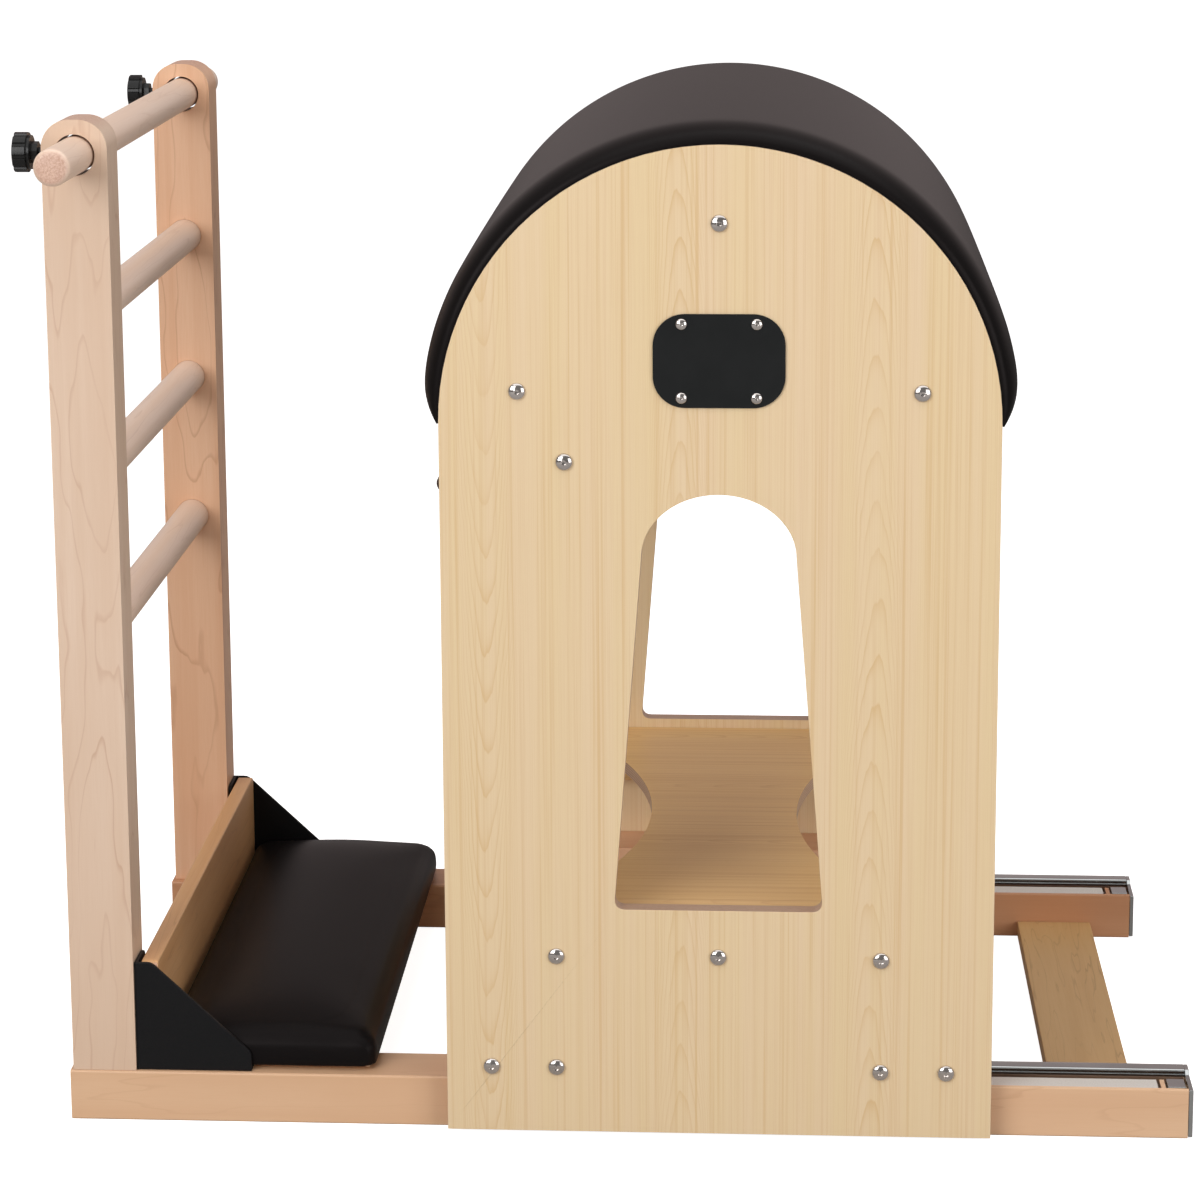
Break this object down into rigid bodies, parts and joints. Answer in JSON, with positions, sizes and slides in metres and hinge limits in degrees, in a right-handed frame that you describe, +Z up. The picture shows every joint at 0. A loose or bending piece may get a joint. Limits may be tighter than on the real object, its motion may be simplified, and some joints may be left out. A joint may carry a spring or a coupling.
{
  "type": "pilates ladder barrel",
  "caption": "Pilates ladder barrel: a padded half barrel between arched plywood sides rolls along base rails, facing an upright ladder with a kickboard and a padded foot step.",
  "frame": {"origin": "on the floor, under the middle of the part's bounding box", "axes": "+X from the ladder towards the barrel, +Y from the front side (the side with the badge plate) to the rear side, +Z up"},
  "size_m": [1.1986, 0.86, 1.055],
  "materials": {
    "maple": "satin lacquer",
    "plywood": "satin lacquer",
    "leatherette": "smooth, satin",
    "black_steel": "powder coat",
    "bright_steel": "brushed",
    "bolt_steel": "polished",
    "white_plastic": "matt",
    "black_plastic": "fine ribs",
    "grey_plastic": "matt",
    "badge_plastic": "satin"
  },
  "bodies": {
    "base_frame": {"base_rail_front": "maple", "base_rail_rear": "maple", "track_front": "bright_steel", "track_rear": "bright_steel", "glide_strip_front": "white_plastic", "glide_strip_rear": "white_plastic", "end_stop_front": "bright_steel", "end_stop_rear": "bright_steel", "end_plate_front": "bright_steel", "end_plate_rear": "bright_steel", "ladder_post_front": "maple", "ladder_post_rear": "maple", "gusset_front": "black_steel", "gusset_rear": "black_steel", "cross_brace": "maple", "rung_upper": "maple", "rung_middle": "maple", "rung_lower": "maple", "kickboard": "maple", "foot_cushion": "leatherette", "foot_cushion_board": "plywood"},
    "barrel_carriage": {"side_panel_front": "plywood", "side_panel_rear": "plywood", "shelf_cleat_front": "maple", "shelf_cleat_rear": "maple", "carriage_beam_front": "maple", "carriage_beam_rear": "maple", "pivot_bolt_front": "bolt_steel", "pivot_bolt_rear": "bolt_steel", "axle_bolt_front_1": "bolt_steel", "axle_bolt_front_2": "bolt_steel", "axle_bolt_front_3": "bolt_steel", "axle_bolt_front_4": "bolt_steel", "axle_bolt_rear_1": "bolt_steel", "axle_bolt_rear_2": "bolt_steel", "axle_bolt_rear_3": "bolt_steel", "axle_bolt_rear_4": "bolt_steel", "badge_plate": "badge_plastic", "barrel_shell": "plywood", "barrel_pad": "leatherette", "stretcher_top": "maple", "stretcher_left": "maple", "stretcher_right": "maple", "shelf": "plywood"},
    "release_paddle": {"release_paddle": "maple"},
    "top_bar": {"top_bar": "maple"},
    "roller_front_1": {"roller_front_1": "grey_plastic"},
    "roller_front_2": {"roller_front_2": "grey_plastic"},
    "roller_front_3": {"roller_front_3": "grey_plastic"},
    "roller_front_4": {"roller_front_4": "grey_plastic"},
    "lock_rod_front": {"lock_rod_front": "bright_steel"},
    "clamp_knob_front": {"clamp_knob_front": "black_plastic"},
    "roller_rear_1": {"roller_rear_1": "grey_plastic"},
    "roller_rear_2": {"roller_rear_2": "grey_plastic"},
    "roller_rear_3": {"roller_rear_3": "grey_plastic"},
    "roller_rear_4": {"roller_rear_4": "grey_plastic"},
    "lock_rod_rear": {"lock_rod_rear": "bright_steel"},
    "clamp_knob_rear": {"clamp_knob_rear": "black_plastic"}
  },
  "joints": [
    {"name": "barrel_slide", "type": "slide", "parent": "base_frame", "child": "barrel_carriage", "axis": [1, 0, 0], "range_m": [0, 0.185]},
    {"name": "release_paddle_tilt", "type": "hinge", "parent": "barrel_carriage", "child": "release_paddle", "pos_m": [-0.04395, 0, 0.7156], "axis": [0, 1, 0], "range_deg": [0, 9]},
    {"name": "top_bar_slide", "type": "slide", "parent": "base_frame", "child": "top_bar", "axis": [0, 1, 0], "range_m": [-0.1, 0.1]},
    {"name": "roller_front_1_spin", "type": "hinge", "parent": "barrel_carriage", "child": "roller_front_1", "pos_m": [-0.12315, -0.2775, 0.077], "axis": [0, 1, 0], "continuous": true},
    {"name": "roller_front_2_spin", "type": "hinge", "parent": "barrel_carriage", "child": "roller_front_2", "pos_m": [-0.05615, -0.2775, 0.077], "axis": [0, 1, 0], "continuous": true},
    {"name": "roller_front_3_spin", "type": "hinge", "parent": "barrel_carriage", "child": "roller_front_3", "pos_m": [0.27685, -0.2775, 0.077], "axis": [0, 1, 0], "continuous": true},
    {"name": "roller_front_4_spin", "type": "hinge", "parent": "barrel_carriage", "child": "roller_front_4", "pos_m": [0.34385, -0.2775, 0.077], "axis": [0, 1, 0], "continuous": true},
    {"name": "lock_rod_front_lift", "type": "slide", "parent": "barrel_carriage", "child": "lock_rod_front", "axis": [0, 0, 1], "range_m": [0, 0.0151]},
    {"name": "clamp_knob_front_turn", "type": "hinge", "parent": "base_frame", "child": "clamp_knob_front", "pos_m": [-0.5661, -0.29795, 1.0195], "axis": [-1, 0, 0], "range_deg": [0, 1080]},
    {"name": "roller_rear_1_spin", "type": "hinge", "parent": "barrel_carriage", "child": "roller_rear_1", "pos_m": [-0.12315, 0.3105, 0.077], "axis": [0, 1, 0], "continuous": true},
    {"name": "roller_rear_2_spin", "type": "hinge", "parent": "barrel_carriage", "child": "roller_rear_2", "pos_m": [-0.05615, 0.3105, 0.077], "axis": [0, 1, 0], "continuous": true},
    {"name": "roller_rear_3_spin", "type": "hinge", "parent": "barrel_carriage", "child": "roller_rear_3", "pos_m": [0.27685, 0.3105, 0.077], "axis": [0, 1, 0], "continuous": true},
    {"name": "roller_rear_4_spin", "type": "hinge", "parent": "barrel_carriage", "child": "roller_rear_4", "pos_m": [0.34385, 0.3105, 0.077], "axis": [0, 1, 0], "continuous": true},
    {"name": "lock_rod_rear_lift", "type": "slide", "parent": "barrel_carriage", "child": "lock_rod_rear", "axis": [0, 0, 1], "range_m": [0, 0.0151]},
    {"name": "clamp_knob_rear_turn", "type": "hinge", "parent": "base_frame", "child": "clamp_knob_rear", "pos_m": [-0.5661, 0.29795, 1.0195], "axis": [-1, 0, 0], "range_deg": [0, 1080]}
  ],
  "couplings": [
    {"joint": "roller_front_1_spin", "follows": "barrel_slide", "rad_per_m": 58.139},
    {"joint": "roller_front_2_spin", "follows": "barrel_slide", "rad_per_m": 58.139},
    {"joint": "roller_front_3_spin", "follows": "barrel_slide", "rad_per_m": 58.139},
    {"joint": "roller_front_4_spin", "follows": "barrel_slide", "rad_per_m": 58.139},
    {"joint": "lock_rod_front_lift", "follows": "release_paddle_tilt", "m_per_rad": 0.0957},
    {"joint": "roller_rear_1_spin", "follows": "barrel_slide", "rad_per_m": 58.139},
    {"joint": "roller_rear_2_spin", "follows": "barrel_slide", "rad_per_m": 58.139},
    {"joint": "roller_rear_3_spin", "follows": "barrel_slide", "rad_per_m": 58.139},
    {"joint": "roller_rear_4_spin", "follows": "barrel_slide", "rad_per_m": 58.139},
    {"joint": "lock_rod_rear_lift", "follows": "release_paddle_tilt", "m_per_rad": 0.0957}
  ]
}
